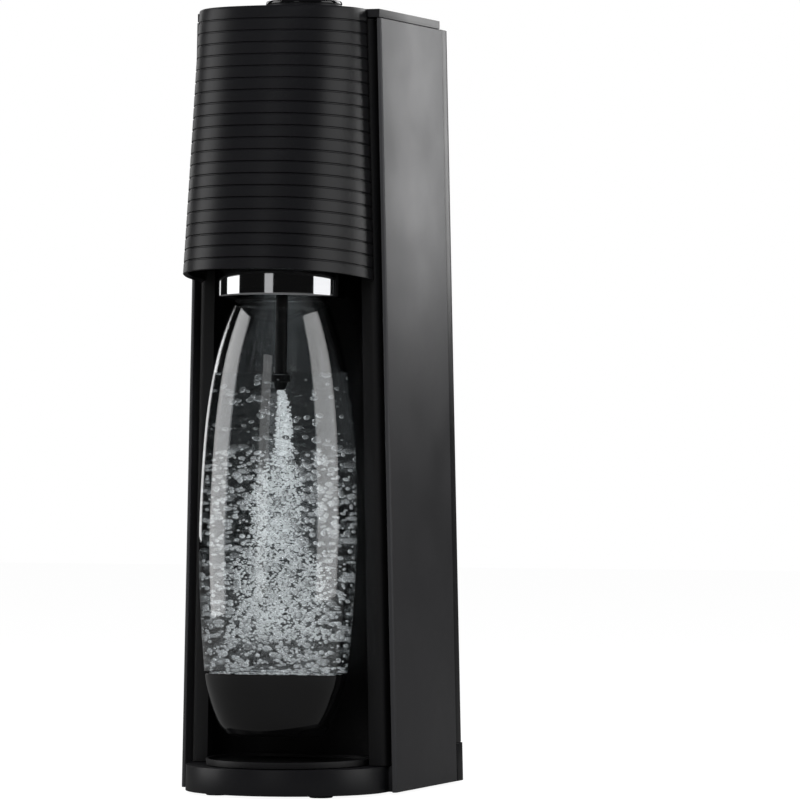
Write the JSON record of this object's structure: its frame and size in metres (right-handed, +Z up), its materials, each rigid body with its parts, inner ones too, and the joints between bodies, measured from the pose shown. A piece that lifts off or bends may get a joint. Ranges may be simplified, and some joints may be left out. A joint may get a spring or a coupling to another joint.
{
  "type": "soda carbonator",
  "caption": "Slim worktop carbonator: clear bottle hanging under a front hood, press button on top, gas cylinder with valve and lever behind a removable rear cover.",
  "frame": {"origin": "middle of the footprint, on the table", "axes": "+Z up, -Y towards the front where the bottle hangs, +X to the right for someone facing the front"},
  "size_m": [0.1264, 0.186, 0.432],
  "materials": {
    "satin_black": "satin moulded shell plastic, fine grain",
    "gloss_black": "polished black plastic",
    "matt_black": "matt black plastic",
    "panel_grey": "satin graphite coating",
    "rubber": "soft black rubber",
    "chrome": "polished chrome plate",
    "steel": "plain steel, lightly brushed",
    "brass": "turned brass",
    "aluminium": "satin aluminium",
    "pink_plastic": "glossy magenta plastic",
    "clear_plastic": "clear moulded bottle plastic"
  },
  "bodies": {
    "machine": {"base": "satin_black", "bottom_plate": "matt_black", "foot_1": "rubber", "foot_2": "rubber", "foot_3": "rubber", "foot_4": "rubber", "base_screw_1": "steel", "base_screw_2": "steel", "base_screw_3": "steel", "base_screw_4": "steel", "tower_frame": "matt_black", "left_side_panel": "panel_grey", "right_side_panel": "panel_grey", "front_hood": "satin_black", "top_cover": "satin_black", "cylinder_seat": "rubber", "cylinder_bracket": "steel", "valve_block": "aluminium", "valve_seal": "rubber", "lever_pin": "steel", "relief_valve": "brass", "block_screw_1": "steel", "block_screw_2": "steel", "rocker_bracket": "steel", "rocker_pin": "steel", "hinge_axle": "steel", "gas_elbow": "brass", "gas_hose": "rubber", "holder_spring": "steel", "button_spring": "steel"},
    "button": {"carbonating_button": "satin_black", "button_rim": "gloss_black", "button_stem": "matt_black"},
    "rocker": {"rocker_lever": "steel"},
    "actuator": {"actuator_pin": "steel"},
    "bottle_holder": {"chrome_collar": "chrome", "collar_housing": "matt_black", "bottle_seal": "rubber", "carbonation_tube": "matt_black", "nozzle_tip": "matt_black", "inlet_pipe": "steel"},
    "bottle": {"bottle_body": "clear_plastic", "bottle_base_cup": "gloss_black"},
    "drip_tray": {"drip_tray": "matt_black"},
    "rear_cover": {"rear_cover": "satin_black", "rear_cover_latch": "matt_black"},
    "lever": {"cylinder_lever": "pink_plastic"},
    "gas_cylinder": {"gas_cylinder": "aluminium", "cylinder_label": "pink_plastic", "cylinder_valve": "brass", "quick_connect_collar": "pink_plastic"},
    "valve_pin": {"valve_pin": "steel"}
  },
  "joints": [
    {"name": "button_press", "type": "slide", "parent": "machine", "child": "button", "axis": [0, 0, -1], "range_m": [0, 0.005], "stiffness_N_per_m": 300, "springref_m": -0.004, "deforming": ["button_spring"]},
    {"name": "rocker_tilt", "type": "hinge", "parent": "machine", "child": "rocker", "pos_m": [0, 0.066, 0.396], "axis": [1, 0, 0], "range_deg": [0, 4.6]},
    {"name": "actuator_push", "type": "slide", "parent": "machine", "child": "actuator", "axis": [0, 0, -1], "range_m": [0, 0.00136]},
    {"name": "valve_pin_push", "type": "slide", "parent": "gas_cylinder", "child": "valve_pin", "axis": [0, 0, -1], "range_m": [0, 0.00136]},
    {"name": "bottle_tilt", "type": "hinge", "parent": "machine", "child": "bottle_holder", "pos_m": [0, 0.0055, 0.302], "axis": [-1, 0, 0], "range_deg": [0, 16]},
    {"name": "bottle_pull_down", "type": "slide", "parent": "bottle_holder", "child": "bottle", "axis": [0, -0.0436, -0.999], "range_m": [0, 0.01]},
    {"name": "drip_tray_out", "type": "slide", "parent": "machine", "child": "drip_tray", "axis": [0, -1, 0], "range_m": [0, 0.105]},
    {"name": "rear_cover_off", "type": "slide", "parent": "machine", "child": "rear_cover", "axis": [0, 1, 0], "range_m": [0, 0.17]},
    {"name": "cylinder_out", "type": "slide", "parent": "machine", "child": "gas_cylinder", "axis": [0, 1, 0], "range_m": [0, 0.0766]},
    {"name": "lever_lift", "type": "hinge", "parent": "machine", "child": "lever", "pos_m": [0, 0.038, 0.378], "axis": [1, 0, 0], "range_deg": [0, 35]}
  ],
  "couplings": [
    {"joint": "rocker_tilt", "follows": "button_press", "rad_per_m": 15.848},
    {"joint": "actuator_push", "follows": "button_press", "ratio": 0.2694},
    {"joint": "valve_pin_push", "follows": "button_press", "ratio": 0.2694},
    {"joint": "cylinder_out", "follows": "rear_cover_off", "ratio": 0.45}
  ]
}
